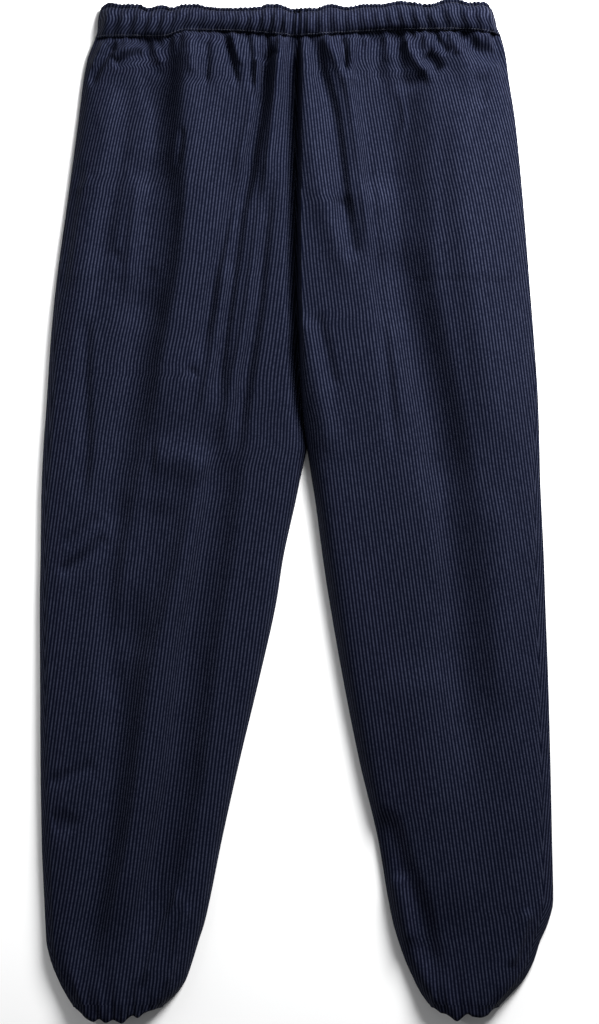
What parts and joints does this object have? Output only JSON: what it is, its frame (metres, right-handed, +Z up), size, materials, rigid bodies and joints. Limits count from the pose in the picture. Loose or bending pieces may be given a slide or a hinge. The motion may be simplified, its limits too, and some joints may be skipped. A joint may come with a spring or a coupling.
{
  "type": "monpe trousers",
  "caption": "Loose cotton work trousers with a gathered elastic waist, side seam pockets and legs that taper to gathered ankles, laid flat with soft folds.",
  "frame": {"origin": "on the surface the trousers lie on, below the middle of their outline", "axes": "Y runs from the ankles up to the waist, X from the wearer's right side to their left, Z up from the surface, front side up"},
  "size_m": [0.487, 0.967, 0.0284],
  "materials": {
    "striped_cotton": "matt plain weave, navy with fine lighter lengthwise stripes",
    "pocket_cotton": "matt plain weave, dark"
  },
  "bodies": {
    "root": {"front_right": "striped_cotton", "front_left": "striped_cotton", "back_right": "striped_cotton", "back_left": "striped_cotton", "waistband_front": "striped_cotton", "waistband_back": "striped_cotton", "cuff_right": "striped_cotton", "cuff_left": "striped_cotton", "pocket_bag_right": "pocket_cotton", "pocket_bag_left": "pocket_cotton"}
  },
  "joints": []
}
